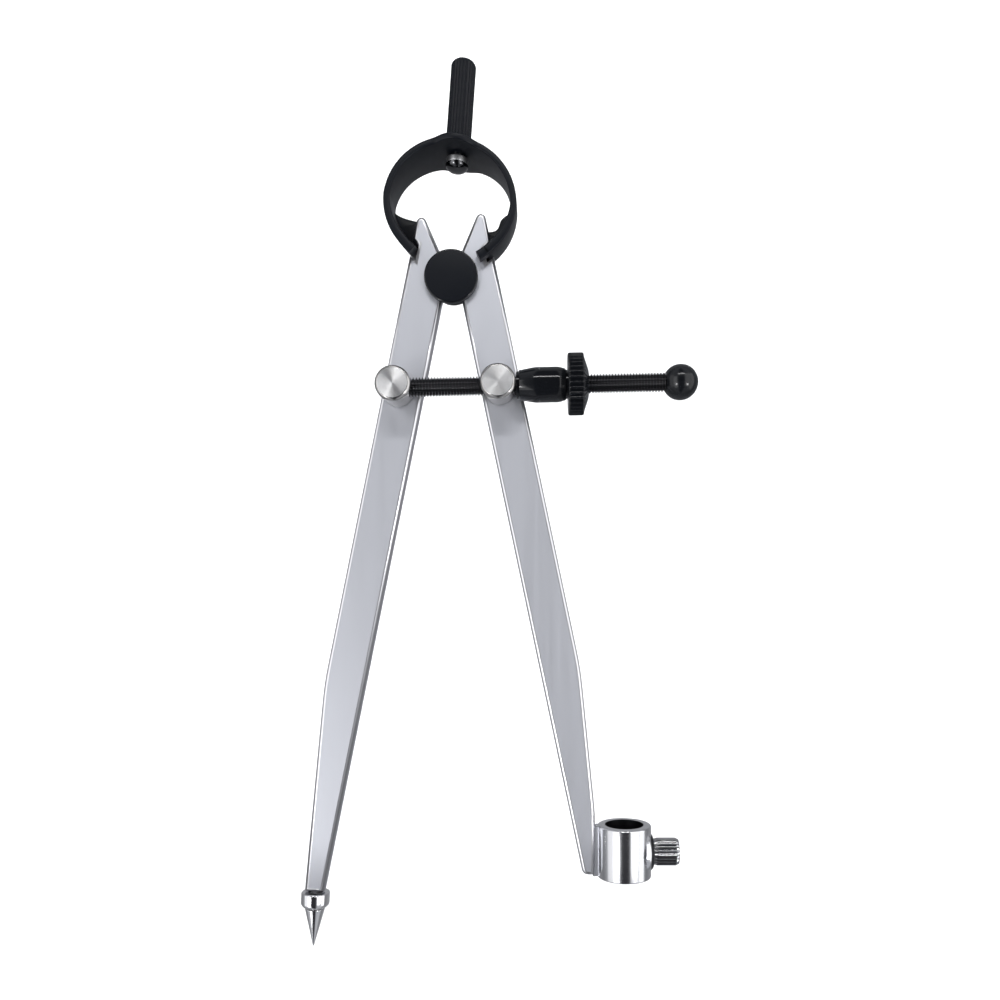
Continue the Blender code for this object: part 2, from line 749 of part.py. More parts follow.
def make_point():
    """The ferrule and needle point at the left leg's end, and the tang that they sit on."""
    leg = bpy.data.objects["left_leg"]
    foot = empty("point_axis", (LEFT * POINT_ACROSS, 0, -LEFT_END_DOWN), leg)
    foot.rotation_euler.y = pi + LEFT * POINT_LEAN
    tang_end = SEAT_GAP + TANG_LENGTH
    tang = bore("left_leg_tang", TANG_RADIUS, -LEG_THICKNESS, tang_end, foot)
    combine(leg, tang, "UNION")
    hole = TANG_RADIUS + SEAT_GAP
    ferrule_end = SEAT_GAP + FERRULE_LENGTH
    ferrule = [
        (hole, SEAT_GAP),
        (FERRULE_RADIUS, SEAT_GAP),
        (FERRULE_RADIUS, ferrule_end - FERRULE_CHAMFER),
        (FERRULE_RADIUS - FERRULE_CHAMFER, ferrule_end),
        (hole, ferrule_end),
    ]
    turned("point_ferrule", ferrule, bright_steel(), foot)
    cone_top = ferrule_end + SEAT_GAP
    point = [
        (0, cone_top - SEAT_GAP - POINT_SHANK_LENGTH),
        (TANG_RADIUS, cone_top - SEAT_GAP - POINT_SHANK_LENGTH),
        (TANG_RADIUS, cone_top),
        (POINT_RADIUS, cone_top),
        (POINT_TIP_RADIUS, cone_top + POINT_LENGTH),
        (0, cone_top + POINT_LENGTH),
    ]
    turned("point", point, bright_steel(), foot)


def make_holder():
    """The pencil holder: an upright sleeve joined to the leg by a web, with a boss for its screw."""
    corner = end_corners(RIGHT_END_DOWN, RIGHT_END_OUTER, RIGHT_LEG_ANGLE)[1]
    leg_end = leg_point(RIGHT, RIGHT_LEG_ANGLE, *corner)
    reach = HOLDER_STANDOFF + HOLDER_RADIUS
    axis = empty("holder_axis", (leg_end.x + reach, LEG_MIDDLE, leg_end.z + HOLDER_RISE))
    half = HOLDER_HEIGHT / 2
    edge = HOLDER_EDGE_ROUND
    sleeve = [
        (0, -half),
        (HOLDER_RADIUS - edge, -half),
        (HOLDER_RADIUS, edge - half),
        (HOLDER_RADIUS, half - edge),
        (HOLDER_RADIUS - edge, half),
        (0, half),
    ]
    holder = turned("pencil_holder", sleeve, bright_steel(), axis, FINE_STEPS)
    combine(holder, make_web(axis, SEAT_GAP - reach), "UNION")
    boss_face = HOLDER_RADIUS + BOSS_PROUD
    boss = bore("holder_boss", BOSS_RADIUS, HOLDER_BORE_RADIUS, boss_face, axis)
    aim(boss, (1, 0, 0)).location.z = -CLAMP_DROP
    combine(holder, boss, "UNION")
    hollow = bore("holder_bore", HOLDER_BORE_RADIUS, -half - OVERRUN, half + OVERRUN, axis)
    combine(holder, hollow, "DIFFERENCE")
    shank_hole = bore(
        "holder_clamp_hole", CLAMP_SHANK_RADIUS + SEAT_GAP, 0, boss_face + OVERRUN, axis
    )
    aim(shank_hole, (1, 0, 0)).location.z = -CLAMP_DROP
    combine(holder, shank_hole, "DIFFERENCE")
    make_clamp_screw(axis, boss_face)


def make_web(axis, face):
    """The web from the sleeve to its face, which is just clear of the leg's upright edge."""
    high = WEB_HEIGHT / 2
    outline = [(face, -high), (0, -high), (0, high), (face, high)]
    half = LEG_THICKNESS / 2
    return plate("holder_web", outline, -half, half, None, axis)


def make_clamp_screw(axis, boss_face):
    """The clamp screw: a shank through the boss and a plain round head."""
    head_start = boss_face + SEAT_GAP
    head_end = head_start + CLAMP_HEAD_LENGTH
    tip = HOLDER_BORE_RADIUS - CLAMP_TIP_INTO_BORE
    profile = [
        (0, tip),
        (CLAMP_SHANK_RADIUS, tip),
        (CLAMP_SHANK_RADIUS, head_start),
        (CLAMP_HEAD_RADIUS - CLAMP_HEAD_CHAMFER, head_start),
        (CLAMP_HEAD_RADIUS, head_start + CLAMP_HEAD_CHAMFER),
        (CLAMP_HEAD_RADIUS, head_end - CLAMP_HEAD_CHAMFER),
        (CLAMP_HEAD_RADIUS - CLAMP_HEAD_CHAMFER, head_end),
        (0, head_end),
    ]
    screw = turned("clamp_screw", profile, bright_steel(), axis)
    aim(screw, (1, 0, 0)).location.z = -CLAMP_DROP


def main():
    clear_scene()
    make_fulcrum()
    make_leg(
        "left_leg",
        LEFT,
        LEFT_LEG_ANGLE,
        (LEFT_END_DOWN, LEFT_END_OUTER),
        POINT_LEAN,
        0,
        LEFT_KINK_DOWN,
        LEFT_TIP_RISE,
        (LEFT_STUD_ACROSS, LEFT_STUD_DOWN),
    )
    make_leg(
        "right_leg",
        RIGHT,
        RIGHT_LEG_ANGLE,
        (RIGHT_END_DOWN, RIGHT_END_OUTER),
        RIGHT_LEG_ANGLE,
        RIGHT_END_UPRIGHT,
        RIGHT_KINK_DOWN,
        RIGHT_TIP_RISE,
        (RIGHT_STUD_ACROSS, RIGHT_STUD_DOWN),
    )
    bow_frame = empty("bow_frame", (BOW_ACROSS, LEG_MIDDLE, BOW_HEIGHT))
    bow_frame.rotation_euler.y = BOW_LEAN
    make_bow(bow_frame)
    make_handle(bow_frame)
    left_place = leg_point(LEFT, LEFT_LEG_ANGLE, LEFT_STUD_ACROSS, LEFT_STUD_DOWN)
    right_place = leg_point(RIGHT, RIGHT_LEG_ANGLE, RIGHT_STUD_ACROSS, RIGHT_STUD_DOWN)
    direction = (right_place - left_place).normalized()
    make_stud("left_stud", left_place, direction, socket=True)
    make_stud("right_stud", right_place, direction, socket=False)
    make_rod(left_place, right_place, direction)
    make_nut(right_place, direction)
    make_point()
    make_holder()


main()
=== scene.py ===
"""Spring divider with satin steel legs, a black bow spring and a knurled adjusting nut.

Sizes are written in millimetres and scaled once, when points become a mesh.
The origin is the centre of the fulcrum's front face; -Y is towards the viewer.
"""

from math import cos, pi, radians, sin, tan

import bmesh
import bpy
import numpy as np
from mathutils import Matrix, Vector


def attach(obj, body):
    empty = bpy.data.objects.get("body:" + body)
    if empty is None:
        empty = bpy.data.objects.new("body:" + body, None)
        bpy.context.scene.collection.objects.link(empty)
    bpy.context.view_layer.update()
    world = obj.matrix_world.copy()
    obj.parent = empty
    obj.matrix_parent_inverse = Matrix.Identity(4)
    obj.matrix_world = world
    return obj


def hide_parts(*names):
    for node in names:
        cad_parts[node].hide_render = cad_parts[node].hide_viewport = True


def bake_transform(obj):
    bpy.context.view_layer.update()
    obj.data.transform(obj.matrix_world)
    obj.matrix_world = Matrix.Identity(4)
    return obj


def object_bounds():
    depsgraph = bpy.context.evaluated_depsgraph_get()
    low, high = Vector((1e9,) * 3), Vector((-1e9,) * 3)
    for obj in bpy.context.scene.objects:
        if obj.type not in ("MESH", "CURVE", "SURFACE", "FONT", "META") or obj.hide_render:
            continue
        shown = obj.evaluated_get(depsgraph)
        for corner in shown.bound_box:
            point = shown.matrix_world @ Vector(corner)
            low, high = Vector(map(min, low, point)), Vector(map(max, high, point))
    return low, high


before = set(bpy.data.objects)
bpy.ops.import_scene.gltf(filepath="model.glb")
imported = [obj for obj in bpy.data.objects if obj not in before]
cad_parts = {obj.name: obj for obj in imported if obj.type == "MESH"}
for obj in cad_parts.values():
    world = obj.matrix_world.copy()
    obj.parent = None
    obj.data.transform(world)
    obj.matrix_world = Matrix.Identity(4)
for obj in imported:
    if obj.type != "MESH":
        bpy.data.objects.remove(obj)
solid_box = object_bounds()

MM = 0.001
WELD_DISTANCE = 0.0000005
CREASE_ANGLE = radians(35)
CORNER_STEPS = 5

# Legs. Outward and down are measured from the pivot, along each leg.
LEG_FRONT, LEG_THICK = 1.5, 3.2
LEG_MIDDLE, LEG_BACK = LEG_FRONT + LEG_THICK / 2, LEG_FRONT + LEG_THICK
LEG_INNER, LEG_OUTER = 1.2, 10.1
LEG_EDGE_ROUND = 0.8
LEFT_ANGLE, RIGHT_ANGLE = radians(11.3), radians(11.9)
LEFT_END_DOWN, LEFT_END_LEAN = 138.5, radians(8.8)
LEFT_NOTCH, RIGHT_NOTCH = 1.4, 1.7

# Studs and rod. The ball's centre is measured along the rod, from the right stud.
LEFT_STUD_OUTWARD, LEFT_STUD_DOWN = 6.55, 26.8
RIGHT_STUD_OUTWARD, RIGHT_STUD_DOWN = 5.3, 26.22
ROD_PLANE = LEG_FRONT - 3.4
BALL_PAST_STUD = 39.2

# Bow
BOW_CENTRE, BOW_LEAN = np.array((-0.2, LEG_MIDDLE, 15.5)), radians(4)
BOW_RADIUS, BOW_END_DROP, BOW_THICK, BOW_END_THICK = 14.6, 0.65, 1.4, 2.0
BOW_END_RADIUS = BOW_RADIUS - BOW_END_DROP
BOW_FRONT, BOW_BACK, BOW_EDGE_ROUND = -4.0, 3.05, 0.3
BOW_DEEP, LEFT_TWIST = 7.05, 1.0
BOW_GAP = 0.3
FORK_HALF = 1.9

# Handle
HANDLE_ACROSS, PAD_SETBACK, PAD_RADIUS = 0.25, 1.9, 7.4


# Camera

def make_camera():
    """Level camera square to the legs' faces, shifted as the photograph is cropped."""
    data = bpy.data.cameras.new("camera")
    camera = bpy.data.objects.new("camera", data)
    bpy.context.scene.collection.objects.link(camera)
    camera.location = (20.57 * MM, (LEG_FRONT - 187) * MM, -71.5 * MM)
    camera.rotation_euler = (pi / 2, 0, 0)
    data.sensor_width = 36
    data.lens = 30.6
    data.shift_x = -0.045
    data.shift_y = 0.103
    data.clip_start = 0.01
    data.clip_end = 20
    bpy.context.scene.camera = camera


make_camera()


# Materials

def shader(name, **sockets):
    """A Principled material; each keyword is a socket's name with _ for a space."""
    made = bpy.data.materials.new(name)
    made.use_nodes = True
    principled = made.node_tree.nodes["Principled BSDF"]
    for socket, value in sockets.items():
        if isinstance(value, tuple):
            value = (*value, 1)
        principled.inputs[socket.replace("_", " ")].default_value = value
    return made, made.node_tree, principled


def pattern(tree, kind, scale, stretch=(1, 1, 1), turn=(0, 0, 0), centre=(0, 0, 0), **sockets):
    """A texture node on Object coordinates, stretched and turned about a centre."""
    place = tree.nodes.new("ShaderNodeTexCoord")
    mapping = tree.nodes.new("ShaderNodeMapping")
    mapping.inputs["Scale"].default_value = stretch
    mapping.inputs["Rotation"].default_value = turn
    mapping.inputs["Location"].default_value = [-c * MM for c in centre]
    texture = tree.nodes.new(kind)
    texture.inputs["Scale"].default_value = scale
    for socket, value in sockets.items():
        texture.inputs[socket.replace("_", " ")].default_value = value
    tree.links.new(place.outputs["Object"], mapping.inputs["Vector"])
    tree.links.new(mapping.outputs["Vector"], texture.inputs["Vector"])
    return texture


def spread(tree, source, low, high, target):
    """Map a texture's 0 to 1 to a range, and feed it to a socket."""
    ranges = tree.nodes.new("ShaderNodeMapRange")
    ranges.inputs["To Min"].default_value = low
    ranges.inputs["To Max"].default_value = high
    tree.links.new(source, ranges.inputs["Value"])
    tree.links.new(ranges.outputs["Result"], target)


def tint(tree, source, dark, light, target):
    """Mix two colours by a texture's 0 to 1."""
    ramp = tree.nodes.new("ShaderNodeValToRGB")
    ramp.color_ramp.elements[0].color = (*dark, 1)
    ramp.color_ramp.elements[1].color = (*light, 1)
    tree.links.new(source, ramp.inputs["Fac"])
    tree.links.new(ramp.outputs["Color"], target)


def roughen(tree, principled, source, strength, distance):
    """Raise a texture as a bump."""
    bump = tree.nodes.new("ShaderNodeBump")
    bump.inputs["Strength"].default_value = strength
    bump.inputs["Distance"].default_value = distance
    tree.links.new(source, bump.inputs["Height"])
    tree.links.new(bump.outputs["Normal"], principled.inputs["Normal"])


def satin_leg(name, angle, tone):
    """Satin nickel on flat steel, with faint lengthwise polishing and slight mottling."""
    made, tree, principled = shader(name, Metallic=1.0, Roughness=0.5)
    lines = pattern(
        tree, "ShaderNodeTexNoise", 900, (1, 1, 0.035), (0, -angle, 0), Detail=4.0, Roughness=0.6
    )
    cloud = pattern(tree, "ShaderNodeTexNoise", 60, Detail=3.0)
    spread(tree, lines.outputs["Fac"], 0.44, 0.54, principled.inputs["Roughness"])
    tint(
        tree, cloud.outputs["Fac"], (0.93 * tone, 0.95 * tone, 1.02 * tone),
        (0.98 * tone, tone, 1.07 * tone), principled.inputs["Base Color"],
    )
    roughen(tree, principled, lines.outputs["Fac"], 0.05, 0.00003)
    return made


def turned_face(name, centre):
    """Bright steel with the fine rings that a lathe tool leaves about the axis.

    The rings scatter light outwards, so the sheen is stretched across them.
    """
    made, tree, principled = shader(
        name, Metallic=1.0, Roughness=0.4, Base_Color=(0.92, 0.92, 0.92), Anisotropic=0.8,
        Anisotropic_Rotation=0.25,
    )
    tangent = tree.nodes.new("ShaderNodeTangent")
    tangent.direction_type = "RADIAL"
    tangent.axis = "Y"
    tree.links.new(tangent.outputs["Tangent"], principled.inputs["Tangent"])
    rings = pattern(
        tree, "ShaderNodeTexWave", 1700, centre=centre, Distortion=0.15, Detail=1.0
    )
    rings.wave_type = "RINGS"
    rings.rings_direction = "Y"
    fine = pattern(tree, "ShaderNodeTexNoise", 500, Detail=3.0)
    spread(tree, fine.outputs["Fac"], 0.3, 0.4, principled.inputs["Roughness"])
    roughen(tree, principled, rings.outputs["Fac"], 0.25, 0.00002)
    return made


def chrome(name, low, high, colour=(0.86, 0.86, 0.87)):
    """Polished plate with faint handling haze, its roughness between two values."""
    made, tree, principled = shader(name, Metallic=1.0, Base_Color=colour)
    haze = pattern(tree, "ShaderNodeTexNoise", 250, Detail=4.0)
    spread(tree, haze.outputs["Fac"], low, high, principled.inputs["Roughness"])
    return made


def black_satin(name):
    """Blackened steel with a satin lacquer and a very fine orange peel."""
    made, tree, principled = shader(
        name, Base_Color=(0.005, 0.0062, 0.0092), Specular_IOR_Level=0.17
    )
    peel = pattern(tree, "ShaderNodeTexNoise", 1500, Detail=3.0)
    cloud = pattern(tree, "ShaderNodeTexNoise", 180, Detail=4.0)
    spread(tree, cloud.outputs["Fac"], 0.3, 0.44, principled.inputs["Roughness"])
    roughen(tree, principled, peel.outputs["Fac"], 0.12, 0.00002)
    return made


def black_gloss(name, low, high, specular):
    """Glossy black lacquer, its roughness between two values."""
    made, tree, principled = shader(
        name, Base_Color=(0.006, 0.0068, 0.0085), Specular_IOR_Level=specular
    )
    cloud = pattern(tree, "ShaderNodeTexNoise", 300, Detail=3.0)
    spread(tree, cloud.outputs["Fac"], low, high, principled.inputs["Roughness"])
    return made


# The two legs are one steel; the right leg's tone is set lighter than the left's as painted light.
LEFT_SATIN = satin_leg("satin_leg_left", LEFT_ANGLE, 0.64)
RIGHT_SATIN_PAINTED_LIGHTER = satin_leg("satin_leg_right_painted_lighter", -RIGHT_ANGLE, 0.68)
POLISHED_EDGE = chrome("polished_edge", 0.27, 0.36, (0.68, 0.68, 0.7))
CHROME = chrome("chrome_plate", 0.07, 0.14)
SLEEVE_CHROME = chrome("sleeve_chrome", 0.15, 0.2, (0.78, 0.78, 0.8))
SMOKED_CHROME = chrome("smoked_chrome", 0.38, 0.48, (0.5, 0.5, 0.51))
DULL_CHROME = chrome("dull_chrome", 0.1, 0.16, (0.5, 0.5, 0.51))
# The studs' sides: the same steel painted darker than their turned faces, as painted shade for the
# dark band under the head.
STUD_SIDE_SHADED = chrome("stud_side_painted_shade", 0.14, 0.22, (0.5, 0.49, 0.48))
# Painted shade: a near-black plate put on the sleeve's bore and on the boss's end beside the clamp
# head, where they lie in shade.
PAINTED_SHADE_DARK = chrome("painted_shade_dark", 0.3, 0.42, (0.05, 0.05, 0.055))
BLACK_SATIN = black_satin("black_satin")
BLACK_NICKEL = chrome("black_nickel", 0.1, 0.16, (0.1, 0.1, 0.105))
BLACK_GLOSS = black_gloss("black_gloss", 0.08, 0.12, 0.36)
BALL_GLOSS = black_gloss("ball_gloss", 0.15, 0.19, 0.4)


# Mesh making

def grid_faces(rows, columns, wrap_rows=False, wrap_columns=True):
    """Quads of a grid: cell (i, j) joins (i, j), (i+1, j), (i+1, j+1) and (i, j+1)."""
    first = np.arange(rows if wrap_rows else rows - 1)
    second = np.arange(columns if wrap_columns else columns - 1)
    i, j = np.meshgrid(first, second, indexing="ij")
    below, beside = (i + 1) % rows, (j + 1) % columns
    corners = (i * columns + j, below * columns + j, below * columns + beside, i * columns + beside)
    return np.stack(corners, axis=-1).reshape(-1, 4)


def piece(name, points, faces, paint, body, nodes):
    """Make a mesh of points in millimetres, with outward faces, and let it ride.
    """
    mesh = bpy.data.meshes.new(name)
    mesh.from_pydata((np.asarray(points) * MM).tolist(), [], faces)
    shape = bmesh.new()
    shape.from_mesh(mesh)
    bmesh.ops.remove_doubles(shape, verts=shape.verts, dist=WELD_DISTANCE)
    bmesh.ops.recalc_face_normals(shape, faces=shape.faces)
    shape.to_mesh(mesh)
    shape.free()
    mesh.shade_smooth()
    mesh.set_sharp_from_angle(angle=CREASE_ANGLE)
    mesh.materials.append(paint)
    made = bpy.data.objects.new(name, mesh)
    bpy.context.scene.collection.objects.link(made)
    if body:
        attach(made, body)
    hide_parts(*nodes)
    return made


def softened(corners):
    """An outline with its corners eased: each (a, b, reach) corner becomes the curve
    (1-t)^2 A + 2t(1-t) P + t^2 B between points A and B at its reach before and after it."""
    points = []
    count = len(corners)
    for index, corner in enumerate(corners):
        here = np.array(corner[:2], float)
        reach = corner[2] if len(corner) > 2 else 0
        if not reach:
            points.append(here)
            continue
        before = np.array(corners[index - 1][:2]) - here
        after = np.array(corners[(index + 1) % count][:2]) - here
        start = here + before * min(0.49, reach / np.linalg.norm(before))
        end = here + after * min(0.49, reach / np.linalg.norm(after))
        for t in np.linspace(0, 1, CORNER_STEPS):
            points.append((1 - t) ** 2 * start + 2 * t * (1 - t) * here + t**2 * end)
    return np.array(points)


def across(axis):
    """Two unit vectors square to an axis."""
    axis = np.array(axis, float) / np.linalg.norm(axis)
    helper = np.array((0, 1, 0)) if abs(axis[1]) < 0.9 else np.array((0, 0, 1))
    first = np.cross(helper, axis)
    first /= np.linalg.norm(first)
    return axis, first, np.cross(axis, first)


def turned_points(outline, place, axis, steps, relief=None):
    """Points place + axis s + (r + relief(s, a, r)) (cos a first + sin a second)."""
    axis, first, second = across(axis)
    angle = np.linspace(0, 2 * pi, steps, endpoint=False)
    along, radius = outline[:, 0][:, None], outline[:, 1][:, None]
    reach = radius + (relief(along, angle[None, :], radius) if relief else 0 * angle[None, :])
    ring = np.cos(angle)[:, None] * first + np.sin(angle)[:, None] * second
    points = np.array(place, float) + along[..., None] * axis + reach[..., None] * ring[None]
    return points.reshape(-1, 3)


def turned(
    name, corners, place, axis, paint, body, nodes, steps=96, relief=None, ring=False,
    second=None,
):
    """Turn an outline of (along, radius, ease) corners about an axis.

    A ring's outline closes on itself; any other is closed by a flat end at each side.
    The second paint, as (paint, first, last), goes on the bands from one row to another.
    """
    outline = softened(corners) if isinstance(corners, list) else corners
    points = turned_points(outline, place, axis, steps, relief)
    rows = len(outline)
    faces = grid_faces(rows, steps, wrap_rows=ring).tolist()
    if not ring:
        faces.append(list(range(steps)))
        faces.append(list(range((rows - 1) * steps, rows * steps)))
    made = piece(name, points, faces, paint, body, nodes)
    if second:
        made.data.materials.append(second[0])
        for face in made.data.polygons[second[1] * steps:second[2] * steps]:
            face.material_index = 1
    return made


def leg_point(side, angle, outward, down):
    """A leg's point (outward, down) from the pivot, as x and z."""
    outward, down = np.asarray(outward, float), np.asarray(down, float)
    x = side * (outward * cos(angle) + down * sin(angle))
    return x, outward * sin(angle) - down * cos(angle)


def arc(centre, radius, start, end, steps):
    """Points centre + radius (cos a, sin a) for a from start to end."""
    angle = np.linspace(start, end, steps)
    return np.stack((centre[0] + radius * np.cos(angle), centre[1] + radius * np.sin(angle)), -1)


# Legs

def bow_centre_seen(side, angle):
    """The bow's centre in a leg's (outward, down)."""
    x, z = BOW_CENTRE[0], BOW_CENTRE[2]
    return side * x * cos(angle) + z * sin(angle), side * x * sin(angle) - z * cos(angle)


def leg_outline(side, angle, end_down, end_outer, end_lean, upright, kink_down, corner, rise):
    """Outline in (outward, down): inner edge, end, outer edge, notch, tip and fulcrum seat.

    Over the upright height, the outer edge above the end is square to the end's cut.
    The notch's corners are where two lines along the leg cross two circles about
    the bow's centre. The seat is an arc about the pivot, from where the tip's
    slope meets it to where it leaves the inner edge.
    """
    inner, outer, tip_radius = LEG_INNER, LEG_OUTER, 1.1
    half = (end_outer - inner) / 2 * tan(end_lean)
    end = [(inner, 20), (inner, end_down - half, corner), (end_outer, end_down + half)]
    if upright:
        end.append(
            (
                end_outer + upright * sin(end_lean),
                end_down + half - upright * cos(end_lean), 1.5,
            )
        )
    centre = bow_centre_seen(side, angle)
    low, high = BOW_END_RADIUS + BOW_GAP, BOW_END_RADIUS - BOW_END_THICK - BOW_GAP
    if side < 0:
        low -= 0.5 * LEFT_TWIST
        high -= 0.8 * LEFT_TWIST
    deep = outer - (LEFT_NOTCH if side < 0 else RIGHT_NOTCH)
    notch = [
        (edge, centre[1] + (radius**2 - (edge - centre[0]) ** 2) ** 0.5)
        for edge, radius in ((outer, low), (deep, low), (deep, high), (outer, high))
    ]
    slope = radians(35)
    top = arc((outer - tip_radius, -rise), tip_radius, 0, -pi + slope, 12)
    leave = top[-1]
    fall = (leave[0] - inner) / tan(slope)
    seat = 3.9
    share = np.linspace(0, 1, 400)
    line = leave + (np.array((inner, leave[1] + fall)) - leave) * share[:, None]
    meet = line[np.hypot(line[:, 0], line[:, 1]) > seat][-1]
    start = np.arctan2(meet[1], meet[0])
    leave_angle = np.arctan2((seat**2 - inner**2) ** 0.5, inner)
    parts = [
        softened([*end, (outer, kink_down, 4), (outer, 14)]),
        notch,
        top,
        arc((0, 0), seat, start, leave_angle, 24),
    ]
    return np.concatenate([np.asarray(part, float) for part in parts])


def plate(name, outline, front, back, round_edge, paints, body, nodes):
    """A plate between two y values, its front and back edges rounded and painted apart."""
    count = len(outline)
    x, z = outline[:, 0], outline[:, 1]
    points = np.concatenate(
        [np.stack((x, np.full(count, y), z), -1) for y in (front, back)]
    )
    faces = grid_faces(2, count).tolist()
    faces.append(list(range(count)))
    faces.append(list(range(count, 2 * count)))
    made = piece(name, points, faces, paints[0], body, nodes)
    mesh = made.data
    mesh.materials.append(paints[1])
    spots = np.empty(3 * len(mesh.vertices))
    mesh.vertices.foreach_get("co", spots)
    ends = np.empty(2 * len(mesh.edges), int)
    mesh.edges.foreach_get("vertices", ends)
    depths = spots[1::3][ends].reshape(-1, 2)
    rim = mesh.attributes.new("bevel_weight_edge", "FLOAT", "EDGE")
    rim.data.foreach_set("value", np.isclose(depths[:, 0], depths[:, 1], 0, 0.01 * MM) * 1.0)
    edges = made.modifiers.new("rounded_edges", "BEVEL")
    edges.width = round_edge * MM
    edges.segments = 6
    edges.limit_method = "WEIGHT"
    edges.use_clamp_overlap = False
    edges.harden_normals = True
    edges.material = 1
    return made


def make_legs():
    """Both legs, with the left one cut square to its point.

    Each shape holds leg_outline's values from end_down to rise.
    """
    for name, side, angle, shape, paint, body in (
        (
            "left_leg_bar", -1, LEFT_ANGLE, (LEFT_END_DOWN, 5.4, LEFT_END_LEAN, 0, 93, 0, 10.9),
            LEFT_SATIN, "left_arm",
        ),
        (
            "right_leg_bar", 1, RIGHT_ANGLE, (134.9, 3.77, RIGHT_ANGLE, 14, 89.9, 1.3, 11.65),
            RIGHT_SATIN_PAINTED_LIGHTER, "right_arm",
        ),
    ):
        outline = leg_outline(side, angle, *shape)
        x, z = leg_point(side, angle, outline[:, 0], outline[:, 1])
        node = name.replace("_bar", "")
        plate(
            name, np.stack((x, z), -1), LEG_FRONT, LEG_BACK, LEG_EDGE_ROUND,
            (paint, POLISHED_EDGE), body, [node],
        )


# Fulcrum

def make_fulcrum():
    """Front flange with a small chamfer, neck, tail, and the back flange."""
    outline = [
        (0, 0.01), (0, 5.9, 0.3), (1.2, 5.9, 0.1), (1.2, 3.6), (4.7, 3.6), (4.7, 2.0),
        (6.4, 2.0, 0.2), (6.4, 0.01),
    ]
    turned(
        "fulcrum_hub", outline, (0, 0, 0), (0, 1, 0), BLACK_SATIN, "frame",
        ["fulcrum_spool"], 160, second=(BLACK_GLOSS, 1, 5),
    )
    ring = [(5.0, 2.3), (5.0, 4.55, 0.15), (6.1, 4.55, 0.25), (6.1, 2.3)]
    turned(
        "fulcrum_back_ring", ring, (0, 0, 0), (0, 1, 0), BLACK_SATIN, "frame",
        ["fulcrum_back_flange"], 128, ring=True,
    )


# Bow

def bow_point(angle, radius, depth):
    """A point of the bow, its angle from straight down and positive to the right."""
    x, z = radius * np.sin(angle), -radius * np.cos(angle)
    return np.stack(
        (
            BOW_CENTRE[0] + x * cos(BOW_LEAN) + z * sin(BOW_LEAN),
            BOW_CENTRE[1] + depth + 0 * x,
            BOW_CENTRE[2] - x * sin(BOW_LEAN) + z * cos(BOW_LEAN),
        ),
        -1,
    )


def ease(value):
    """3t^2 - 2t^3 for t cut to 0..1."""
    value = np.clip(value, 0, 1)
    return value * value * (3 - 2 * value)


def band(name, angles, inner, outer, front, back, edge, side):
    """Sweep a rounded rectangle about the bow's centre, and bend it with one leg.

    At each angle the section's corners are arcs of the edge radius: a corner is
    its centre, edge in from both sides, plus edge (cos u, sin u) over a quarter turn.
    The left half is twisted: its radius falls with depth, by LEFT_TWIST over the
    strip's whole depth, eased in from 95 to 60 degrees.
    """
    columns = []
    corners = (
        (outer, back, 1, 1), (inner, back, -1, 1), (inner, front, -1, -1), (outer, front, 1, -1),
    )
    for quarter, (radius, depth, r_side, y_side) in enumerate(corners):
        for u in pi / 2 * quarter + np.linspace(0, pi / 2, 4):
            columns.append(
                (radius + edge * (cos(u) - r_side), depth + edge * (sin(u) - y_side))
            )
    radius = np.stack([np.broadcast_to(c[0], angles.shape) for c in columns], -1)
    depth = np.stack([np.broadcast_to(c[1], angles.shape) for c in columns], -1)
    if side < 0:
        share = ease((radians(95) - abs(angles)) / radians(35))[:, None]
        radius = radius - LEFT_TWIST * share * (depth - BOW_FRONT) / BOW_DEEP
    points = bow_point(angles[:, None], radius, depth).reshape(-1, 3)
    count = len(columns)
    faces = grid_faces(len(angles), count).tolist()
    faces.append(list(range(count)))
    faces.append(list(range((len(angles) - 1) * count, len(angles) * count)))
    made = piece(name, points, faces, BLACK_SATIN, None, ["bow_spring"])
    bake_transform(made)
    return made


def bow_radii(away):
    """Inner and outer radius: the strip draws in and thickens evenly from 95 to 50 degrees."""
    share = np.clip((radians(95) - away) / radians(45), 0, 1)
    outer = BOW_RADIUS - BOW_END_DROP * share
    return outer - BOW_THICK - (BOW_END_THICK - BOW_THICK) * share, outer


def eased_row(values, reach):
    """Round off the corners of a curve by the mean of the values within reach on both sides."""
    padded = np.pad(values, reach, mode="reflect", reflect_type="odd")
    window = np.hanning(2 * reach + 3)[1:-1]
    return np.convolve(padded, window / window.sum(), "valid")


